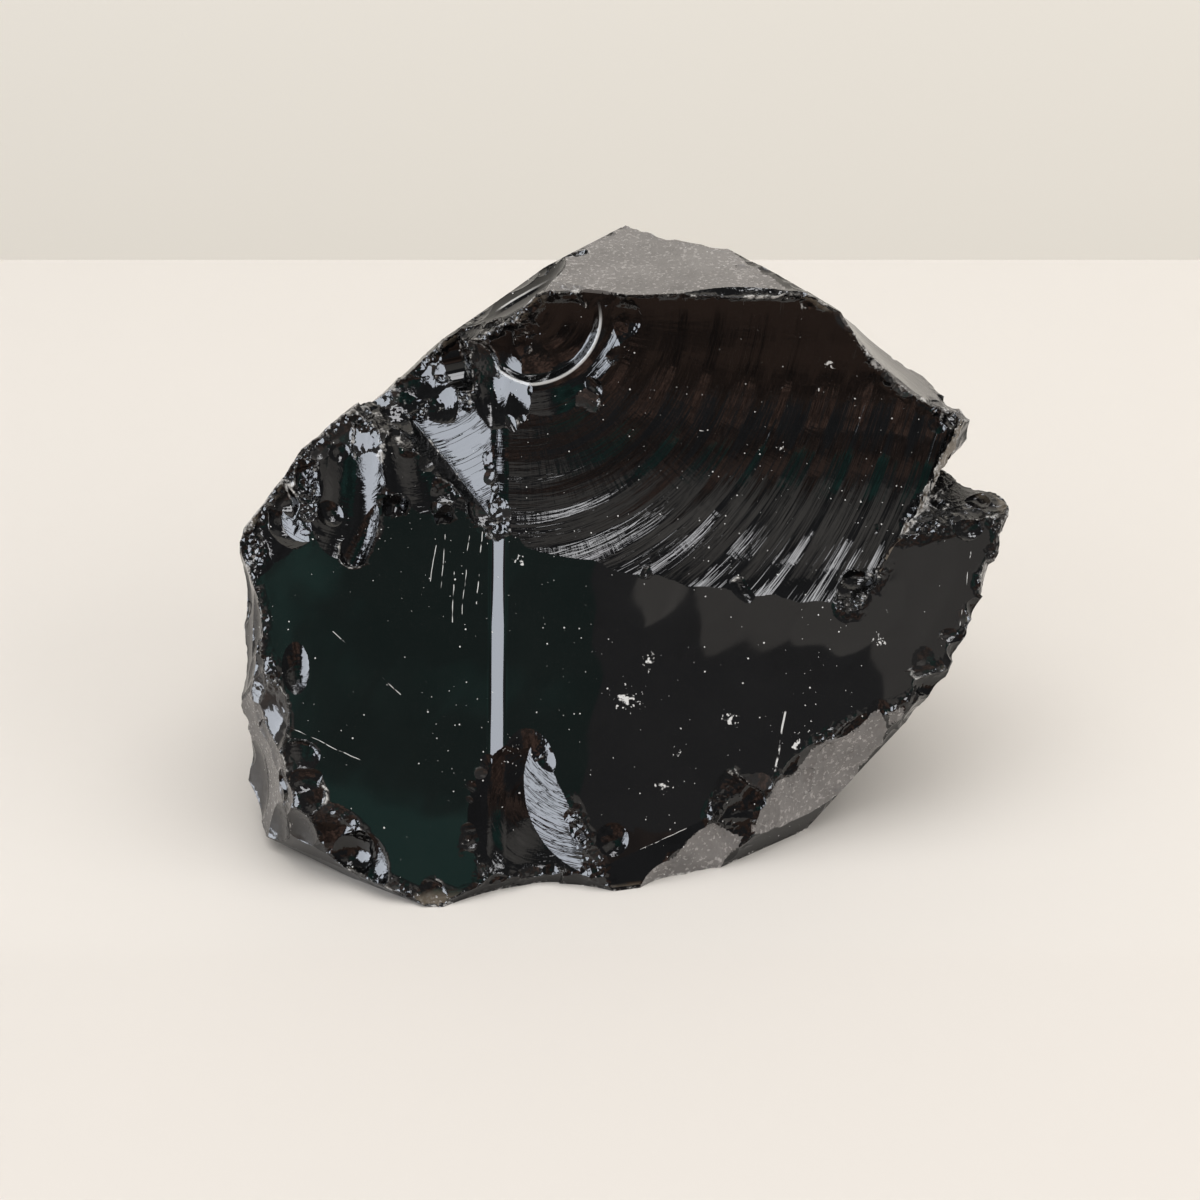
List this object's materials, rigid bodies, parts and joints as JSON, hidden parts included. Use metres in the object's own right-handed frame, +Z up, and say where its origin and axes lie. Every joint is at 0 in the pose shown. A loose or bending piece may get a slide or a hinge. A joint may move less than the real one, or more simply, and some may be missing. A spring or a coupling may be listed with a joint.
{
  "type": "obsidian chunk",
  "caption": "Solid lump of black volcanic glass with a broad sloping face, rippled shell-shaped scars, a chipped crest and a flat underside it rests on.",
  "frame": {"origin": "middle of the bounding box, on the plane of the flat underside", "axes": "+X to the right along the broad face, the longest way; +Y from the broad face to the back; +Z up"},
  "size_m": [0.1156, 0.0855, 0.0758],
  "materials": {
    "obsidian": "natural glassy fracture, opaque black, dusty in places"
  },
  "bodies": {
    "root": {"obsidian_chunk": "obsidian"}
  },
  "joints": []
}
